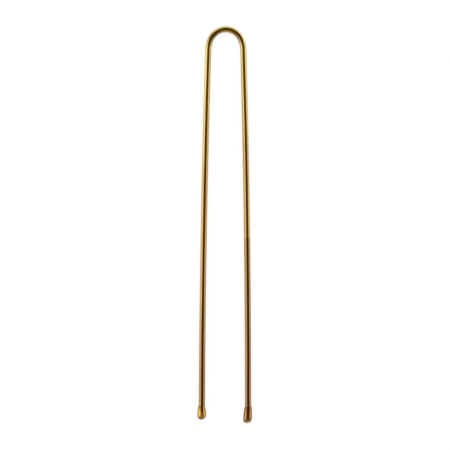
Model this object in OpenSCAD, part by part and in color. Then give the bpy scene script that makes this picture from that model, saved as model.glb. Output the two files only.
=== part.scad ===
// U-shaped hairpin of round spring wire, lying flat, with a drop of resin dipped on each end.
// X runs across the legs, +Y to the crown and +Z up. The origin is on the ground under the middle.
// The wire is one piece. It is cut at a fine slit in each leg, at the point that the leg flexes about.

/* [Wire] */
// Diameter of the spring wire with its lacquer
wire_d = 1.15; // [0.9:0.05:1.3]

/* [Crown] */
// Radius of the bend over the top, to the middle of the wire
crown_r = 2.94; // [2.6:0.02:3.6]
// Angle that the bend over the top turns to each side
crown_turn = 70; // [60:1:80]
// Radius of the easier bend that leads into each leg
shoulder_r = 5.6; // [4:0.1:9]

/* [Legs] */
// Length of wire in each leg, from the shoulder to its cut end
leg_length = 64.4; // [40:0.1:76]
// Angle at which each leg leaves its shoulder, outward
leg_splay = 1.63; // [0.8:0.01:3]
// Radius of the gentle bow that brings the legs back to parallel
leg_bow_r = 2400; // [1800:50:4000]

/* [Flex] */
// Distance down the leg from the shoulder to the point that it flexes about
flex_drop = 8; // [6:0.5:12]
// Largest angle that a leg springs outward
flex_spread = 6; // [3:0.5:8]
// Clearance left in the slit when the leg has sprung outward all the way
flex_play = 0.01; // [0.005:0.005:0.05]

/* [Drops] */
// Length of each leg that the resin covers
dip_length = 1.85; // [1.6:0.05:2.4]
// Thickness of the resin at its upper edge
resin_edge = 0.045; // [0.03:0.005:0.1]
// Thickness of the resin round the widest part of the left drop
left_wall = 0.225; // [0.18:0.005:0.4]
// Distance of that widest part below the wire's end, negative above it
left_belly = -0.27; // [-0.4:0.01:0.1]
// Resin below the wire's end in the left drop
left_end = 0.69; // [0.5:0.01:1]
// Bluntness of the left drop's end, where 2 is an ellipse
left_blunt = 2; // [1.8:0.1:3]
// Thickness of the resin round the widest part of the right drop
right_wall = 0.235; // [0.18:0.005:0.4]
// Distance of that widest part below the wire's end
right_belly = 0.26; // [-0.2:0.01:0.4]
// Resin below the wire's end in the right drop, which ran longer
right_end = 1.34; // [0.9:0.01:1.8]
// Bluntness of the right drop's end, where 2 is an ellipse
right_blunt = 2.3; // [1.8:0.1:3]
// Angle that the right drop set leaning inward
right_lean = 1.7; // [0:0.1:3]

/* [Hidden] */

wire_colour = [0.62, 0.44, 0.18];
drop_colour = [0.84, 0.6, 0.24];
round_steps = 48;
arc_steps = 24;
side_steps = 10;
end_steps = 14;
wire_r = wire_d / 2;

// The middle of the wire is three tangent arcs a side, worked out here for the right side and from
// the centre of the crown's bend. Each angle is where a joint of two arcs lies as seen from their centres.
crown_end = 90 - crown_turn;
shoulder_turn = crown_end - leg_splay;
shoulder_centre = -(shoulder_r - crown_r) * toward(crown_end);
bow_centre = shoulder_centre - (leg_bow_r - shoulder_r) * toward(leg_splay);
slit = wire_d * tan(flex_spread / 2) + flex_play;

// The end of the longer drop and the crown's top are equally far from the origin, and the thicker
// drop rests on the ground.
dip_point = leg_point(leg_length - dip_length);
right_axis = leg_angle(leg_length - dip_length) - right_lean;
reach_down = (dip_length + right_end) * cos(right_axis) - dip_point.y;
crown_y = (reach_down - crown_r - wire_r) / 2;
wire_z = wire_r + max(left_wall, right_wall);

function toward(a) = [cos(a), sin(a)];
function bow_turn(s) = s / leg_bow_r * 180 / PI;
function leg_angle(s) = leg_splay - bow_turn(s);
function leg_point(s) = bow_centre + leg_bow_r * toward(leg_angle(s));

// Moves in two steps, a coarse one and its small rest, so that tangent arcs meet without a trace
module set_at(p) {
    coarse = [for (v = p) round(v * 10) / 10];
    translate(coarse) translate(p - coarse) children();
}

// From the crown's centre to the origin on the ground
module in_place() {
    set_at([0, crown_y, wire_z]) children();
}

// Wire along an arc that runs clockwise from one angle
module wire_arc(centre, r, from, turn) {
    set_at(centre) mirror([0, 1, 0])
        rotate_extrude(start = -from, angle = turn, $fn = ceil(360 / turn * arc_steps))
            translate([r, 0]) circle(d = wire_d, $fn = round_steps);
}

// Half of the bend, its shoulder and the top of the leg, down to the slit
module crown_side() {
    wire_arc([0, 0], crown_r, 90, crown_turn);
    wire_arc(shoulder_centre, shoulder_r, crown_end, shoulder_turn);
    wire_arc(bow_centre, leg_bow_r, leg_splay, bow_turn(flex_drop - slit / 2));
}

// The leg from the slit to its sheared end
module leg_side() {
    top = flex_drop + slit / 2;
    wire_arc(bow_centre, leg_bow_r, leg_angle(top), bow_turn(leg_length - top));
}

// Outline of a drop from its upper edge down: a swelling side and a superellipse for the end
function drop_outline(wall, belly, end, blunt) =
    let (wide = wire_r + wall, edge = wire_r + resin_edge, side = dip_length + belly)
    concat(
        [[0, 0]],
        [for (i = [0:side_steps]) let (t = i / side_steps)
            [edge + (wide - edge) * sin(90 * t), side * t]],
        [for (i = [1:end_steps]) let (a = 90 * i / end_steps)
            [wide * pow(cos(a), 2 / blunt), side + (end - belly) * pow(sin(a), 2 / blunt)]]
    );

// A drop round the right leg's end, with the blind bore that the wire fills
module drop_side(wall, belly, end, blunt, lean) {
    difference() {
        set_at(dip_point) rotate([90, 0, leg_angle(leg_length - dip_length) - lean])
            rotate_extrude($fn = round_steps) polygon(drop_outline(wall, belly, end, blunt));
        leg_side();
    }
}

module crown() {
    color(wire_colour) in_place() {
        crown_side();
        mirror([1, 0, 0]) crown_side();
    }
}

module left_leg() {
    color(wire_colour) in_place() mirror([1, 0, 0]) leg_side();
}

module right_leg() {
    color(wire_colour) in_place() leg_side();
}

module left_tip() {
    color(drop_colour) in_place() mirror([1, 0, 0])
        drop_side(left_wall, left_belly, left_end, left_blunt, 0);
}

module right_tip() {
    color(drop_colour) in_place()
        drop_side(right_wall, right_belly, right_end, right_blunt, right_lean);
}

crown();
left_leg();
right_leg();
left_tip();
right_tip();
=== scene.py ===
"""Dresses a packed U-shaped hairpin: the lacquered wire, the dipped resin drops and a plain studio."""

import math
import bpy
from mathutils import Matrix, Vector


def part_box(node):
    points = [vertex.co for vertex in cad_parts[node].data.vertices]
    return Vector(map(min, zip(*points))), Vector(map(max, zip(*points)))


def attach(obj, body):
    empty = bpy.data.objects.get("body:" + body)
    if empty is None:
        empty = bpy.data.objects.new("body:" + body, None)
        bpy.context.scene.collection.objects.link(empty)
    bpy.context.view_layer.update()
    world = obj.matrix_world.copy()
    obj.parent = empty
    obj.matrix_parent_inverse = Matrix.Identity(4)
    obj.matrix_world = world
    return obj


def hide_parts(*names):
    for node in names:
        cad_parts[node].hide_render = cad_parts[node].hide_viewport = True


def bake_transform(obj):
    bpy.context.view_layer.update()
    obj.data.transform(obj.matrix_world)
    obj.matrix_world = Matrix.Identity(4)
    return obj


bl_info = {
    "name": "Dipped Wire Hairpin",
    "version": (1, 0, 0),
    "blender": (4, 5, 0),
    "location": "3D View > Sidebar > Hairpin",
    "description": "Builds a hairpin of lacquered spring wire with resin drops, and a studio for it",
    "category": "Mesh",
}

import bmesh
import bpy
from bpy.props import FloatProperty, FloatVectorProperty, PointerProperty
from bpy.types import Operator, Panel, PropertyGroup
from mathutils import Vector

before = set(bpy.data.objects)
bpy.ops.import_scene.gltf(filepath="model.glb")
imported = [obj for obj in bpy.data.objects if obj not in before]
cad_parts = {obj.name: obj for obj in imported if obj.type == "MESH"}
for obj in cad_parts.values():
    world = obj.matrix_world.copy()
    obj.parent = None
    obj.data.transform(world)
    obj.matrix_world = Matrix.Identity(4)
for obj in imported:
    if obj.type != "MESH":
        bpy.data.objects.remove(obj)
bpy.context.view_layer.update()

MM = 0.001
UP = Vector((0, 0, 1))

# Sides of the pin, each with the sign of X there
SIDES = {"left": -1, "right": 1}

# Attribute that keeps each point's place as if the wire were straight: outward, up and along
COORD = "unbent"

# Points round one ring of a mesh, and their angles from its outward side
RING = 64
TURNS = [2 * math.pi * i / RING for i in range(RING)]

# Length of wire between rings, finer round the bends
BEND_SPACING = 0.08 * MM
LEG_SPACING = 0.4 * MM

# Rings of a drop: in the film at its top, down its side and round its end
FILM_STEPS = 10
SIDE_STEPS = 20
END_STEPS = 28

# Depth inside the wire at which a drop's film starts, and how sharply the sag of its end grows
FILM_SUNK = 0.02 * MM
SAG_GROWTH = 1.5

# Width of the last bead on a drop's end, and how far outward of the middle it set
NIB_WIDTH = 0.16 * MM
NIB_OUT = 0.1 * MM

# Height of each kind of relief in the lacquer and in the resin
DIE_LINE_HEIGHT = 0.0012 * MM
PEEL_HEIGHT = 0.0007 * MM
SWAY_HEIGHT = 0.006 * MM
PIT_DEPTH = 0.0015 * MM
CLOUD_HEIGHT = 0.006 * MM
GRAIN_HEIGHT = 0.0008 * MM

# Darkness of the painted shade inside the bend, at the top and toward the shoulders
BEND_SHADE_AT_TOP = 0.15
BEND_SHADE_AT_SHOULDER = 0.75

# Slope of the lacquer across the right leg, all the way down and in the upper half besides
LEG_SLOPE = 0.065
UPPER_SLOPE = 0.05

# Layers of the resin: how strong each is, and its shade as shares of the tint in red, green and blue
RESIN_LAYERS = {
    "clouds": (0.5, (0.8, 0.8, 0.8)),
    "left_rim_shade": (1, (0.65, 0.8, 1.1)),
    "right_side_shade": (1, (0.68, 0.78, 1)),
    "streak": (1, (1.1, 0.6, 0.3)),
    "neck_shade": (0.6, (0.5, 0.3, 0.22)),
    "lip_shadow": (0.6, (0.25, 0.25, 0.25)),
    "dark_middle_near_end": (1, (0.25, 0.22, 0.04)),
    "end_shade": (1, (0.3, 0.4, 0.6)),
}

# The painted highlight on a drop's last bead: its colour, and how much less it mirrors than the rest
BEAD_HIGHLIGHT_COLOUR = (0.75, 0.6, 0.34)
BEAD_HAZE = 0.7

# Colour of the resin's gloss where it isn't all pigment
GLOSS_TINT = (0.3, 0.2, 0.07)

# Soft boxes: place and size in metres, and how bright each is to look at
SOFTBOXES = {
    "left_softbox": ((-0.4, 0.02, 0.25), (0.3, 0.66), 0.5),
    "right_softbox": ((0.45, 0, 0.2), (0.3, 0.7), 0.28),
}

# Colours and outlines of the level cards, in metres as seen from above
CARD_DARK = (0.13, 0.06, 0.002)
CARD_GOLD = (0.8, 0.6, 0.12)
CARD_EDGE = ((-0.185, -0.21), (0.32, -0.21), (0.32, 0.385), (0, 0.385), (-0.185, 0.28))
WING_EDGE = ((-0.29, 0.22), (-0.185, 0.13), (-0.185, 0.26), (-0.24, 0.3))
RIM_EDGE = ((-0.235, -0.24), (0.385, -0.24), (0.385, 0.42), (0, 0.42), (-0.235, 0.3))

# Level cards over the pin: height in metres, colour and outline
LEVEL_CARDS = {
    "camera_card": (0.3, CARD_DARK, CARD_EDGE),
    "far_wing": (0.3, CARD_DARK, WING_EDGE),
    "card_rim": (0.31, CARD_GOLD, RIM_EDGE),
}

# Distance in metres of the upright cards from the pin
UPRIGHT_REACH = 0.62

# Upright cards round the pin: azimuth, degrees to each side of it, height in metres and colour
UPRIGHT_CARDS = {
    "near_card": (263, 24, 1.1, (0.56, 0.42, 0.27)),
    "near_left_card": (227, 12, 0.9, (0.6, 0.5, 0.38)),
    "near_right_card": (311, 24, 0.9, (0.42, 0.34, 0.22)),
    "far_card": (87, 18, 0.8, (0.76, 0.84, 0.78)),
    "far_left_card": (140, 14, 0.2, (0.45, 0.45, 0.4)),
    "bright_card": (38, 16, 0.35, (1.25, 1.2, 1.6)),
}

# Half of the floor's width in metres
FLOOR_HALF = 2.0

# Pixels along each side of the picture, and the place in it of the middle of the wire at the crown's top
PICTURE_PX = 450
CROWN_PX = Vector((225.84, 29.35))

crown_low, crown_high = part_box("crown")


def length(name, description, default):
    """A size in metres for a property group."""
    return FloatProperty(
        name=name, description=description, default=default, unit="LENGTH", subtype="DISTANCE", precision=5
    )


def angle(name, description, degrees):
    """An angle for a property group, given in degrees and held in radians."""
    return FloatProperty(
        name=name, description=description, default=math.radians(degrees), unit="ROTATION", subtype="ANGLE"
    )


def colour(name, description, default):
    """A scene-linear colour for a property group."""
    return FloatVectorProperty(
        name=name, description=description, default=default, size=3, min=0, max=1, subtype="COLOR"
    )


def factor(name, description, default):
    """A share from 0 to 1 for a property group."""
    return FloatProperty(name=name, description=description, default=default, min=0, max=1, subtype="FACTOR")


def number(name, description, default):
    """A plain number for a property group."""
    return FloatProperty(name=name, description=description, default=default)


class WireSettings(PropertyGroup):
    """Sizes of the bent wire, to its middle line where it is bent."""

    thickness: length("Wire", "Diameter of the wire with its lacquer", 1.15 * MM)
    crown_radius: length("Crown radius", "Radius of the bend over the top", 2.94 * MM)
    crown_turn: angle("Crown turn", "Angle that the bend over the top turns to each side", 70)
    shoulder_radius: length("Shoulder radius", "Radius of the easier bend into each leg", 5.6 * MM)
    splay: angle("Splay", "Angle at which each leg leaves its shoulder, outward", 1.63)
    leg_length: length("Leg length", "Length of wire in each leg, from its shoulder to its end", 64.4 * MM)
    bow_radius: length("Bow radius", "Radius of the gentle bow of each leg", 2400 * MM)
    seam: length("Seam", "Distance below the shoulder where the leg's piece begins", 1 * MM)
    flex_reach: length("Flex reach", "Length of wire that bends each side of the flex point", 6.8 * MM)


class DropSettings:
    """Sizes that are the same in both drops."""

    edge: length("Edge", "Thickness of the resin where its side begins", 0.045 * MM)
    meniscus: length("Meniscus", "Height of the thin film that creeps up the wire", 0.2 * MM)


class LeftDropSettings(DropSettings, PropertyGroup):
    """Sizes and tint of the left drop."""

    dip: length("Dip", "Length of leg that the resin covers", 1.58 * MM)
    wall: length("Wall", "Thickness of the resin round the widest part", 0.213 * MM)
    belly: length("Belly", "Distance of the widest part below the wire's end", -0.27 * MM)
    end: length("End", "Resin below the wire's end", 0.66 * MM)
    blunt: number("Bluntness", "Exponent of the rounded end, where 2 is an ellipse", 2.0)
    lean: angle("Lean", "Angle that the drop leans inward", -0.4)
    flat: factor("Flat", "How much flatter than round the drop's upper side is", 0)
    edge_tilt: length("Edge tilt", "Rise of the upper edge from the middle to the outer side", 0.18 * MM)
    nib: length("Nib", "Height of the last bead that set on the end", 0.02 * MM)
    skew: length("Skew", "Distance outward that the rounded end sagged", 0.1 * MM)
    tint: colour("Tint", "Colour of the resin", (0.72, 0.45, 0.12))
    glow: factor("Glow", "How much the thick resin scatters light instead of mirroring it", 0.14)
    # Bead: a painted highlight that pales the end of the drop
    bead: factor("Bead", "How much paler the last bead on the end is", 0.2)
    # Sag: painted shade round the drop's lower end
    end_shade: factor("Sag", "How much deeper the resin is round its lower end", 0.95)
    streak: factor("Streak", "How much redder the resin is along its middle, over the wire", 0.2)
    dark_middle_near_end: factor("Cut end", "How much the wire's dark cut end shows through the resin", 0.6)
    # Dull side: painted shade on the drop's right side
    right_shade: factor("Dull side", "How much duller the resin is on its right side", 0.8)


class RightDropSettings(DropSettings, PropertyGroup):
    """Sizes and tint of the right drop, which ran longer."""

    dip: length("Dip", "Length of leg that the resin covers", 1.6 * MM)
    wall: length("Wall", "Thickness of the resin round the widest part", 0.195 * MM)
    belly: length("Belly", "Distance of the widest part below the wire's end", 0.34 * MM)
    end: length("End", "Resin below the wire's end", 1.22 * MM)
    blunt: number("Bluntness", "Exponent of the rounded end, where 2 is an ellipse", 2.45)
    lean: angle("Lean", "Angle that the drop leans inward", 2.2)
    flat: factor("Flat", "How much flatter than round the drop's upper side is", 0.05)
    edge_tilt: length("Edge tilt", "Rise of the upper edge from the middle to the outer side", 0.1 * MM)
    nib: length("Nib", "Height of the last bead that set on the end", 0.12 * MM)
    skew: length("Skew", "Distance outward that the rounded end sagged", -0.12 * MM)
    tint: colour("Tint", "Colour of the resin", (0.42, 0.24, 0.09))
    glow: factor("Glow", "How much the thick resin scatters light instead of mirroring it", 0.05)
    # Bead: a painted highlight that pales the end of the drop
    bead: factor("Bead", "How much paler the last bead on the end is", 0.85)
    # Sag: painted shade round the drop's lower end
    end_shade: factor("Sag", "How much deeper the resin is round its lower end", 0.5)
    streak: factor("Streak", "How much redder the resin is along its middle, over the wire", 0.7)
    dark_middle_near_end: factor("Cut end", "How much the wire's dark cut end shows through the resin", 0)
    # Dull side: painted shade on the drop's right side
    right_shade: factor("Dull side", "How much duller the resin is on its right side", 0)


class LacquerSettings(PropertyGroup):
    """Colours and finish of the lacquer over the wire. Its lengths run from the crown's top."""

    crown_colour: colour("At the crown", "Colour of the lacquer where it is thin", (0.67, 0.55, 0.18))
    leg_colour: colour("Down the legs", "Colour of the lacquer halfway down the legs", (0.57, 0.36, 0.11))
    tip_colour: colour("At the tips", "Colour of the lacquer where it ran thick", (0.33, 0.18, 0.045))
    bronze_end: length("Bronze end", "Length to where the crown's gold has turned to bronze", 36 * MM)
    brown_start: length("Brown start", "Length to where the bronze starts to turn brown", 30 * MM)
    brown_end: length("Brown end", "Length to where the lacquer is fully brown", 68 * MM)
    second_dip: length("Second dip", "Length to the edge of the right leg's second dip", 38.4 * MM)
    second_share: factor("Second share", "How far the second dip takes the colour to that of the tips", 0.8)
    # Inner side: painted shade where the wire faces the other leg
    inner: factor("Inner side", "How much darker the lacquer is on the wire's inner side", 0.28)
    thick: factor("Thick runs", "How much darker it is where it ran thick on the right leg", 0.16)
    grooves: factor("Grooves", "How much darker it is in the grooves that the die left", 0.35)
    pits: factor("Pits", "How much darker it is in the pits", 0.4)
    metal: factor("Metal", "How much the finish reflects as metal", 1)
    roughness: factor("Roughness", "Roughness of the wire under the lacquer", 0.056)


class StudioSettings(PropertyGroup):
    """The floor, the world's light and the camera."""

    pixel: length("Pixel", "Size of one picture pixel at the wire", 0.17606 * MM)
    camera_height: length("Camera height", "Height of the camera above the wire", 220 * MM)
    roll: angle("Roll", "Angle that the pin is turned clockwise in the picture", 0.13)
    floor_colour: colour("Floor", "Colour of the floor", (0.9, 0.9, 0.9))
    floor_white: number("Floor white", "Level of the white that the floor shows to the camera", 1.04)
    white_share: factor("White share", "How much of that white hides the floor's shadow", 0.85)
    world_level: factor("World", "Level of the soft light from all round", 0.95)


GROUPS = {
    "hairpin_wire": WireSettings,
    "hairpin_left_drop": LeftDropSettings,
    "hairpin_right_drop": RightDropSettings,
    "hairpin_lacquer": LacquerSettings,
    "hairpin_studio": StudioSettings,
}


def setting_names(group):
    """Names of the settings of a property group, with those that it inherits."""
    return [name for cls in group.__mro__ for name in vars(cls).get("__annotations__", {})]


class Value:
    """A node's output that Python's operators turn into Math nodes."""

    def __init__(self, shader, socket):
        self.shader = shader
        self.socket = socket

    def math(self, operation, *values):
        """A Math node on these values, which are Values or numbers."""
        sockets = dict(enumerate(values))
        return self.shader.node("ShaderNodeMath", {"operation": operation}, sockets)

    def __add__(self, other):
        return self.math("ADD", self, other)

    def __radd__(self, other):
        return self.math("ADD", other, self)

    def __sub__(self, other):
        return self.math("SUBTRACT", self, other)

    def __rsub__(self, other):
        return self.math("SUBTRACT", other, self)

    def __mul__(self, other):
        return self.math("MULTIPLY", self, other)

    def __rmul__(self, other):
        return self.math("MULTIPLY", other, self)

    def __abs__(self):
        return self.math("ABSOLUTE", self)

    def at_least(self, other):
        """The larger of this and another."""
        return self.math("MAXIMUM", self, other)

    def clamp(self):
        """This, kept from 0 to 1."""
        return self.shader.node("ShaderNodeClamp", {}, {"Value": self})


class Shader:
    """Adds nodes to one node tree."""

    def __init__(self, tree):
        self.tree = tree
        tree.nodes.clear()

    def node(self, kind, settings, sockets, output=0):
        """A node of a type, with its settings and the links or values of its sockets."""
        made = self.tree.nodes.new(kind)
        for key, value in settings.items():
            setattr(made, key, value)
        for key, value in sockets.items():
            if isinstance(value, Value):
                self.tree.links.new(value.socket, made.inputs[key])
            else:
                made.inputs[key].default_value = value
        return Value(self, made.outputs[output])

    def unbent(self):
        """The place on the straight wire: outward, up and along."""
        return self.node("ShaderNodeAttribute", {"attribute_name": COORD}, {}, output="Vector")

    def part(self, vector, axis):
        """One part of a vector: X, Y or Z."""
        return self.node("ShaderNodeSeparateXYZ", {}, {0: vector}, output=axis)

    def distance(self, vector, place):
        """How far a vector is from a place."""
        return self.node("ShaderNodeVectorMath", {"operation": "DISTANCE"}, {0: vector, 1: place}, "Value")

    def stretched(self, vector, scale):
        """A vector times one number for each axis."""
        return self.node("ShaderNodeVectorMath", {"operation": "MULTIPLY"}, {0: vector, 1: scale})

    def noise(self, vector, scale, detail=2):
        """Noise from 0 to 1, at so many features a metre along each axis."""
        sockets = {"Vector": self.stretched(vector, scale), "Scale": 1, "Detail": detail}
        return self.node("ShaderNodeTexNoise", {}, sockets)

    def step(self, value, start, end):
        """A smooth step from 0 at the start to 1 at the end, which may be the lower of the two."""
        sockets = {"Value": value, "From Min": start, "From Max": end}
        return self.node("ShaderNodeMapRange", {"interpolation_type": "SMOOTHSTEP"}, sockets)

    def mix(self, share, a, b):
        """A colour between two, by a share."""
        pair = {0: share, 6: opaque(a), 7: opaque(b)}
        return self.node("ShaderNodeMix", {"data_type": "RGBA"}, pair, output=2)

    def bump(self, height):
        """The surface's normal over a relief of this height in millimetres."""
        return self.node("ShaderNodeBump", {}, {"Strength": 1, "Distance": 1 * MM, "Height": height})

    def finish(self, surface, target="ShaderNodeOutputMaterial"):
        """Links the surface to the tree's output."""
        end = self.tree.nodes.new(target)
        self.tree.links.new(surface.socket, end.inputs["Surface"])


def opaque(value):
    """A three-part colour with full alpha, or a link as it is."""
    return value if isinstance(value, Value) else (*value, 1)


def shaded(tone, *shares):
    """A colour times one share, or times one for each of its parts."""
    if len(shares) == 1:
        shares = shares * 3
    return tuple(part * share for part, share in zip(tone, shares))


def per_mm(across, along):
    """Noise scale in features a millimetre, across the wire and along it."""
    return (across / MM, across / MM, along / MM)


def new_material(name):
    """An empty material and the means to add its nodes."""
    material = bpy.data.materials.new(name)
    material.use_nodes = True
    return material, Shader(material.node_tree)


def wire_material(scene):
    """The wire's material, made for its first piece and shared by the others."""
    return bpy.data.materials.get("lacquered_wire") or lacquered_wire(scene.hairpin_lacquer)


def lacquered_wire(settings):
    """Drawn steel wire under a clear bronze lacquer that ran thicker towards the tips."""
    material, s = new_material("lacquered_wire")
    coord = s.unbent()
    outward = s.part(coord, "X")
    along = s.part(coord, "Z")
    run = abs(along)

    # Marks of the draw and of the dip
    die_lines = s.noise(coord, per_mm(14, 0.12), detail=3)
    grooves = s.step(die_lines, 0.48, 0.66)
    ripple = s.noise(coord, per_mm(1.6, 0.35)) - 0.5
    orange_peel = s.noise(coord, per_mm(9, 9))
    sway = s.noise(coord, per_mm(0.5, 0.22), detail=1)
    pits = s.step(s.noise(coord, per_mm(7, 5), detail=1), 0.24, 0.14)

    # Gold at the crown, bronze down the legs, brown near the tips and past the edge of the second dip
    edge = settings.second_dip
    bronzed = s.step(run + ripple * (12 * MM), 0, settings.bronze_end)
    browned = s.step(run + ripple * (16 * MM), settings.brown_start, settings.brown_end)
    dipped_twice = s.step(along + ripple * (1 * MM), edge - 0.4 * MM, edge + 0.4 * MM)
    tone = s.mix(bronzed, tuple(settings.crown_colour), tuple(settings.leg_colour))
    browned = browned.at_least(dipped_twice * settings.second_share)
    tone = s.mix(browned, tone, tuple(settings.tip_colour))

    # Painted shade on the inner side, which faces the other leg, most of all inside the bend
    inner_side_shade = s.step(outward, 0.1 * MM, -0.35 * MM)
    tone = s.mix(inner_side_shade * settings.inner, tone, shaded(settings.leg_colour, 0.5))
    in_bend = s.step(run, 4.9 * MM, 3.4 * MM)
    off_top = s.step(run, 0.8 * MM, 2.6 * MM)
    bend_shade = in_bend * (off_top * (BEND_SHADE_AT_SHOULDER - BEND_SHADE_AT_TOP) + BEND_SHADE_AT_TOP)
    bend_shade = bend_shade * s.step(outward, 0.12 * MM, -0.04 * MM)
    tone = s.mix(bend_shade, tone, shaded(settings.leg_colour, 0.35))

    # Darker again where the lacquer ran thick on the right leg, and in the grooves and pits
    upper_run = s.step(along, 18 * MM, 22 * MM) * s.step(along, 32 * MM, 28 * MM)
    lower_run = s.step(along, 46 * MM, 54 * MM)
    tone = s.mix((upper_run + lower_run) * settings.thick, tone, shaded(settings.leg_colour, 0.3))
    marks = grooves * settings.grooves + pits * settings.pits
    tone = s.mix(marks, tone, shaded(settings.tip_colour, 0.5))

    # Relief, with lacquer that is a little thicker on the outer side of the right leg
    whole_leg = s.step(along, 6 * MM, 18 * MM) * s.step(along, 68 * MM, 56 * MM)
    upper_half = s.step(along, 14 * MM, 22 * MM) * s.step(along, 37 * MM, 30 * MM)
    slope = whole_leg * LEG_SLOPE + upper_half * UPPER_SLOPE
    height = die_lines * (DIE_LINE_HEIGHT / MM) + orange_peel * (PEEL_HEIGHT / MM)
    height = height + sway * (SWAY_HEIGHT / MM) - pits * (PIT_DEPTH / MM)
    height = height + slope * outward * (1 / MM)

    surface = s.node("ShaderNodeBsdfPrincipled", {}, {
        "Base Color": tone,
        "Metallic": settings.metal,
        "Roughness": grooves * 0.06 + pits * 0.15 + settings.roughness,
        "Normal": s.bump(height),
        "Coat Weight": 1.0,
        "Coat Roughness": 0.03,
        "Coat IOR": 1.55,
    })
    s.finish(surface)
    return material


def dipped_resin(name, sign, wire, drop):
    """Glossy pigmented resin, with painted shade at its neck, its lip, its sides and round its end, and a
    painted highlight on its end.
    """
    material, s = new_material(name)
    coord = s.unbent()
    outward = s.part(coord, "X")
    depth = s.part(coord, "Z")
    rightward = outward * sign
    leftward = outward * -sign
    off_middle = abs(outward)
    cloud = s.noise(coord, per_mm(1.5, 1.0))
    grain = s.noise(coord, per_mm(12, 12))
    wavering = depth + (cloud - 0.5) * (0.4 * MM) + outward * outward * (0.9 / MM)
    wide = wire.thickness / 2 + drop.wall
    bottom = drop.dip + drop.end

    def layer(tone, name, where):
        """The tone with one of the layers over it, where a mask is 1."""
        strength, shares = RESIN_LAYERS[name]
        return s.mix(where * strength, tone, shaded(drop.tint, *shares))

    # Clouds in the pigment, then painted shade: a darker rim on the left and a duller side on the right
    tone = layer(tuple(drop.tint), "clouds", cloud)
    tone = layer(tone, "left_rim_shade", s.step(leftward, wide * 0.6, wide * 0.8))
    tone = layer(tone, "right_side_shade", s.step(rightward, wide * 0.25, wide * 0.6) * drop.right_shade)

    # Redder over the wire, painted shade at the neck, and a painted shadow along the upper edge, mostly on
    # the left
    over_wire = s.step(off_middle, 0.45 * MM, 0.1 * MM)
    above_end = s.step(depth, bottom - 0.4 * MM, bottom - 0.9 * MM)
    tone = layer(tone, "streak", over_wire * above_end * drop.streak)
    right_share = s.step(rightward, 0.2 * MM, 0.5 * MM) * 0.6
    tone = layer(tone, "neck_shade", s.step(depth, 1.2 * MM, 0.1 * MM) * (1 - right_share))
    tone = layer(tone, "lip_shadow", s.step(depth, 0.25 * MM, -0.02 * MM) * s.step(rightward, 0.45 * MM, 0.1 * MM))

    # Darker along the middle near the drop's end, painted shade round its lower end, and a painted highlight
    # that pales the last bead on it
    past_cut = s.step(depth, drop.dip - 0.3 * MM, drop.dip)
    above_rim = s.step(depth, bottom - 0.1 * MM, bottom - 0.25 * MM)
    over_cut = s.step(off_middle, 0.3 * MM, 0.14 * MM)
    tone = layer(tone, "dark_middle_near_end", past_cut * above_rim * over_cut * drop.dark_middle_near_end)
    tone = layer(tone, "end_shade", s.step(wavering, bottom - 0.45 * MM, bottom - 0.24 * MM) * drop.end_shade)
    from_nib = s.distance(coord, (NIB_OUT, 0, bottom))
    bead = s.step(from_nib, 0.95 * MM, 0.25 * MM) * drop.bead
    tone = s.mix(bead, tone, BEAD_HIGHLIGHT_COLOUR)

    thick = s.step(wavering, 0.5 * MM, 1.4 * MM)
    surface = s.node("ShaderNodeBsdfPrincipled", {}, {
        "Base Color": tone,
        "Metallic": 1 - thick * drop.glow - bead * BEAD_HAZE,
        "Roughness": 0.14 + grain * 0.06,
        "Normal": s.bump(cloud * (CLOUD_HEIGHT / MM) + grain * (GRAIN_HEIGHT / MM)),
        "Specular Tint": opaque(GLOSS_TINT),
    })
    s.finish(surface)
    return material


class Centreline:
    """The wire's middle line.

    Distances run along it from the crown's top, to the right and, below 0, to the left.
    """

    def __init__(self, wire):
        top = crown_high.y - wire.thickness / 2
        level = (crown_low.z + crown_high.z) / 2
        centre = Vector((0, top - wire.crown_radius, level))
        crown_end = math.pi / 2 - wire.crown_turn
        shoulder = centre - (wire.shoulder_radius - wire.crown_radius) * self.toward(crown_end)
        bow = shoulder - (wire.bow_radius - wire.shoulder_radius) * self.toward(wire.splay)
        self.shoulder_start = wire.crown_radius * wire.crown_turn
        self.leg_start = self.shoulder_start + wire.shoulder_radius * (crown_end - wire.splay)
        self.wire_end = self.leg_start + wire.leg_length
        self.arcs = [
            (self.leg_start, bow, wire.bow_radius, wire.splay),
            (self.shoulder_start, shoulder, wire.shoulder_radius, crown_end),
            (0, centre, wire.crown_radius, math.pi / 2),
        ]

    @staticmethod
    def toward(a):
        """The direction at an angle in the pin's plane."""
        return Vector((math.cos(a), math.sin(a), 0))

    def at(self, distance):
        """The point on the line and the direction out of the bend there."""
        side = -1 if distance < 0 else 1
        start, centre, radius, from_angle = next(a for a in self.arcs if abs(distance) >= a[0])
        out = self.toward(from_angle - (abs(distance) - start) / radius)
        point = centre + radius * out
        return Vector((side * point.x, point.y, point.z)), Vector((side * out.x, out.y, 0))


def even(start, end, count):
    """Values from one to another in so many equal steps."""
    return [start + (end - start) * i / count for i in range(count + 1)]


def spaced(start, end, spacing):
    """Distances from one to another, no further apart than the spacing."""
    return even(start, end, math.ceil(abs(end - start) / spacing))


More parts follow.
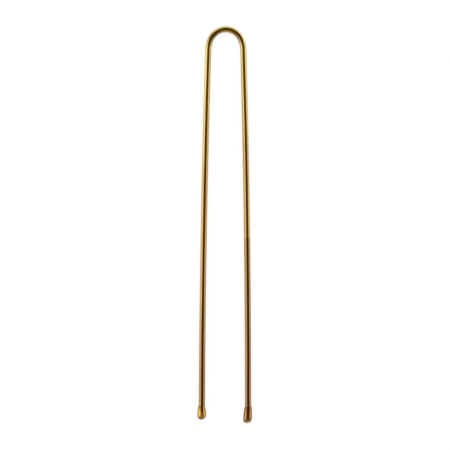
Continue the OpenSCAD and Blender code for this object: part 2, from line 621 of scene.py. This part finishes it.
def piece_from_rings(name, rings, coords, material):
    """A closed mesh through rings of points, its two ends capped, with the unbent place of each point."""
    build = bmesh.new()
    rows = [[build.verts.new(p) for p in ring] for ring in rings]
    for a, b in zip(rows, rows[1:]):
        for i in range(RING):
            j = (i + 1) % RING
            build.faces.new((a[i], a[j], b[j], b[i]))
    for cap in (rows[0], rows[-1]):
        build.faces.new(cap)
    bmesh.ops.recalc_face_normals(build, faces=build.faces)
    for face in build.faces:
        face.smooth = len(face.verts) == 4
    for cap in (rows[0], rows[-1]):
        for i in range(RING):
            build.edges.get((cap[i], cap[(i + 1) % RING])).smooth = False
    mesh = bpy.data.meshes.new(name)
    build.to_mesh(mesh)
    build.free()
    unbent = mesh.attributes.new(COORD, "FLOAT_VECTOR", "POINT")
    unbent.data.foreach_set("vector", [x for ring in coords for c in ring for x in c])
    mesh.materials.append(material)
    piece = bpy.data.objects.new(name, mesh)
    bpy.context.scene.collection.objects.link(piece)
    return piece


def wire_piece(name, line, distances, radius, material):
    """A length of round wire along the middle line."""
    rings = []
    coords = []
    for distance in distances:
        point, out = line.at(distance)
        rings.append([point + radius * (math.cos(a) * out + math.sin(a) * UP) for a in TURNS])
        coords.append([(radius * math.cos(a), radius * math.sin(a), distance) for a in TURNS])
    return piece_from_rings(name, rings, coords, material)


def drop_profile(wire, drop):
    """Radius of a drop by depth below its upper edge: a film, a swelling side and a rounded end."""
    film = wire.thickness / 2 - FILM_SUNK
    edge = wire.thickness / 2 + drop.edge
    wide = wire.thickness / 2 + drop.wall
    side = drop.dip + drop.belly
    tip = drop.end - drop.belly
    power = 2 / drop.blunt
    profile = []
    for t in even(0, 1, FILM_STEPS):
        profile.append((-drop.meniscus * (1 - t), film + (edge - film) * t * t * (3 - 2 * t)))
    for t in even(0, 1, SIDE_STEPS)[1:]:
        profile.append((side * t, edge + (wide - edge) * math.sin(math.pi / 2 * t)))
    for a in even(0, math.pi / 2, END_STEPS)[1:-1]:
        profile.append((side + tip * math.sin(a) ** power, wide * math.cos(a) ** power))
    return profile


def drop_spot(drop, depth, radius, turn):
    """Place of one point of a drop: outward, up and down its axis, with its tilt, bead and sag."""
    outward = radius * math.cos(turn)
    upward = radius * math.sin(turn) * (1 - drop.flat * max(0, math.sin(turn)))
    near_edge = max(0, 1 - max(0, depth) / drop.dip)
    downward = depth - drop.edge_tilt * math.cos(turn) * near_edge
    if depth > drop.dip:
        off_nib = ((outward - NIB_OUT) ** 2 + upward ** 2) / NIB_WIDTH ** 2
        downward += drop.nib * math.exp(-off_nib)
    sagged = max(0, depth - drop.dip - drop.belly) / (drop.end - drop.belly)
    outward += drop.skew * sagged ** SAG_GROWTH
    return outward, upward, downward


def drop_piece(side, sign, wire, drop, material):
    """A drop on the end of a leg, set along the wire's own direction there and leaning from it."""
    line = Centreline(wire)
    seat, out = line.at(sign * (line.wire_end - drop.dip))
    down = Vector((sign * out.y, -sign * out.x, 0))
    axis = down * math.cos(drop.lean) - out * math.sin(drop.lean)
    across = out * math.cos(drop.lean) + down * math.sin(drop.lean)
    profile = drop_profile(wire, drop)
    coords = [[drop_spot(drop, depth, radius, turn) for turn in TURNS] for depth, radius in profile]
    rings = [[seat + across * u + UP * v + axis * w for u, v, w in ring] for ring in coords]
    return piece_from_rings(side + "_drop", rings, coords, material)


class HAIRPIN_OT_crown(Operator):
    """Build the crown: the bend over the top, its shoulders and the tops of the legs"""

    bl_idname = "hairpin.crown"
    bl_label = "Crown"

    def execute(self, context):
        wire = context.scene.hairpin_wire
        line = Centreline(wire)
        reach = line.leg_start + wire.seam
        distances = spaced(-reach, reach, BEND_SPACING)
        piece = wire_piece("crown_wire", line, distances, wire.thickness / 2, wire_material(context.scene))
        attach(piece, "crown")
        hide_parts("crown")
        return {"FINISHED"}


class HAIRPIN_OT_legs(Operator):
    """Build both legs, which join the crown at one end"""

    bl_idname = "hairpin.legs"
    bl_label = "Legs"

    def execute(self, context):
        wire = context.scene.hairpin_wire
        line = Centreline(wire)
        material = wire_material(context.scene)
        for side, sign in SIDES.items():
            body = side + "_leg"
            distances = [sign * d for d in spaced(line.leg_start + wire.seam, line.wire_end, LEG_SPACING)]
            piece = wire_piece(body + "_wire", line, distances, wire.thickness / 2, material)
            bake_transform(piece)
            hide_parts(body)
        return {"FINISHED"}


class HAIRPIN_OT_drops(Operator):
    """Build the resin drops on both ends of the wire"""

    bl_idname = "hairpin.drops"
    bl_label = "Drops"

    def execute(self, context):
        scene = context.scene
        for side, sign in SIDES.items():
            drop = getattr(scene, "hairpin_" + side + "_drop")
            material = dipped_resin(side + "_resin", sign, scene.hairpin_wire, drop)
            piece = drop_piece(side, sign, scene.hairpin_wire, drop, material)
            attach(piece, side + "_leg")
            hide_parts(side + "_tip")
        return {"FINISHED"}


class HAIRPIN_OT_studio(Operator):
    """Build the floor, the soft boxes, the cards that the wire mirrors and the camera"""

    bl_idname = "hairpin.studio"
    bl_label = "Studio"

    def execute(self, context):
        studio = context.scene.hairpin_studio
        self.world(context.scene, studio)
        self.floor(studio)
        for name, (place, size, level) in SOFTBOXES.items():
            self.softbox(name, place, size, level)
        for name, (height, tone, outline) in LEVEL_CARDS.items():
            self.card(name, [(*corner, height) for corner in outline], tone)
        for name, (azimuth, spread, height, tone) in UPRIGHT_CARDS.items():
            self.card(name, self.upright_corners(azimuth, spread, height), tone)
        self.camera(context.scene, studio)
        return {"FINISHED"}

    def seen(self, s):
        """1 for the rays that show the background: those of the camera and of gloss and clear materials."""
        rays = ("Is Camera Ray", "Is Glossy Ray", "Is Transmission Ray")
        camera, glossy, clear = (s.node("ShaderNodeLightPath", {}, {}, output=ray) for ray in rays)
        return (camera + glossy + clear).clamp()

    def world(self, scene, studio):
        """Soft white light from all round, which the background shows as full white."""
        scene.world = bpy.data.worlds.new("studio_world")
        scene.world.use_nodes = True
        s = Shader(scene.world.node_tree)
        strength = self.seen(s) * (1 - studio.world_level) + studio.world_level
        light = s.node("ShaderNodeBackground", {}, {"Color": (1, 1, 1, 1), "Strength": strength})
        s.finish(light, "ShaderNodeOutputWorld")

    def floor(self, studio):
        """A white floor that keeps the pin's shadow and can't be seen from below."""
        material, s = new_material("studio_floor")
        white = s.node("ShaderNodeEmission", {}, {"Color": (1, 1, 1, 1), "Strength": studio.floor_white})
        matt = s.node("ShaderNodeBsdfDiffuse", {}, {"Color": (*studio.floor_colour, 1)})
        mixed = s.node("ShaderNodeMixShader", {}, {0: self.seen(s) * studio.white_share, 1: matt, 2: white})
        underside = s.node("ShaderNodeNewGeometry", {}, {}, output="Backfacing")
        clear = s.node("ShaderNodeBsdfTransparent", {}, {})
        s.finish(s.node("ShaderNodeMixShader", {}, {0: underside, 1: mixed, 2: clear}))
        half = FLOOR_HALF
        corners = [(-half, -half, 0), (half, -half, 0), (half, half, 0), (-half, half, 0)]
        self.plane("floor", corners, material)

    def upright_corners(self, azimuth, spread, height):
        """Corners of an upright card at an azimuth, so many degrees wide to each side of it."""
        left, right = (math.radians(azimuth + turn) for turn in (spread, -spread))
        foot = [UPRIGHT_REACH * Centreline.toward(a) for a in (left, right)]
        return [*foot, foot[1] + height * UP, foot[0] + height * UP]

    def card(self, name, corners, tone):
        """A card that only gloss sees."""
        material, s = new_material(name)
        s.finish(s.node("ShaderNodeEmission", {}, {"Color": opaque(tone), "Strength": 1}))
        card = self.plane(name, corners, material)
        card.visible_camera = False
        card.visible_diffuse = False
        card.visible_shadow = False

    def plane(self, name, corners, material):
        """A flat piece of the stage with these corners."""
        mesh = bpy.data.meshes.new(name)
        mesh.from_pydata(corners, [], [range(len(corners))])
        mesh.materials.append(material)
        plane = bpy.data.objects.new(name, mesh)
        bpy.context.scene.collection.objects.link(plane)
        return plane

    def softbox(self, name, place, size, level):
        """A soft box aimed at the pin, as bright to look at as its level says."""
        light = bpy.data.lights.new(name, "AREA")
        light.shape = "RECTANGLE"
        light.size, light.size_y = size
        light.energy = level * math.pi * size[0] * size[1]
        lamp = bpy.data.objects.new(name, light)
        lamp.location = place
        lamp.rotation_euler = (-Vector(place)).to_track_quat("-Z", "Y").to_euler()
        bpy.context.scene.collection.objects.link(lamp)

    def camera(self, scene, studio):
        """Straight down on the pin, so that the crown's top falls where it does in the picture."""
        middle = Vector((PICTURE_PX / 2, PICTURE_PX / 2))
        shift = (CROWN_PX - middle) * studio.pixel
        c, s = math.cos(studio.roll), math.sin(studio.roll)
        right = Vector((c, s, 0))
        up = Vector((-s, c, 0))
        crown_top, _ = Centreline(scene.hairpin_wire).at(0)
        camera_data = bpy.data.cameras.new("camera")
        camera_data.lens = camera_data.sensor_width * studio.camera_height / (PICTURE_PX * studio.pixel)
        camera_data.clip_start = 10 * MM
        camera = bpy.data.objects.new("camera", camera_data)
        camera.location = crown_top - shift.x * right + shift.y * up + studio.camera_height * UP
        camera.rotation_euler = (0, 0, studio.roll)
        scene.collection.objects.link(camera)
        scene.camera = camera
        scene.view_settings.view_transform = "Standard"


OPERATORS = (HAIRPIN_OT_crown, HAIRPIN_OT_legs, HAIRPIN_OT_drops, HAIRPIN_OT_studio)


class HAIRPIN_PT_panel(Panel):
    """The pin's pieces and their settings, in the sidebar of the 3D view"""

    bl_idname = "HAIRPIN_PT_panel"
    bl_label = "Hairpin"
    bl_space_type = "VIEW_3D"
    bl_region_type = "UI"
    bl_category = "Hairpin"

    def draw(self, context):
        for operator in OPERATORS:
            self.layout.operator(operator.bl_idname)
        for name, group in GROUPS.items():
            box = self.layout.box()
            for key in setting_names(group):
                box.prop(getattr(context.scene, name), key)


CLASSES = (*GROUPS.values(), *OPERATORS, HAIRPIN_PT_panel)


def register():
    for cls in CLASSES:
        bpy.utils.register_class(cls)
    for name, group in GROUPS.items():
        setattr(bpy.types.Scene, name, PointerProperty(type=group))


def unregister():
    for name in GROUPS:
        delattr(bpy.types.Scene, name)
    for cls in reversed(CLASSES):
        bpy.utils.unregister_class(cls)


def main():
    """Builds the pin and its studio."""
    register()
    bpy.ops.hairpin.crown()
    bpy.ops.hairpin.legs()
    bpy.ops.hairpin.drops()
    bpy.ops.hairpin.studio()


if __name__ == "__main__":
    main()
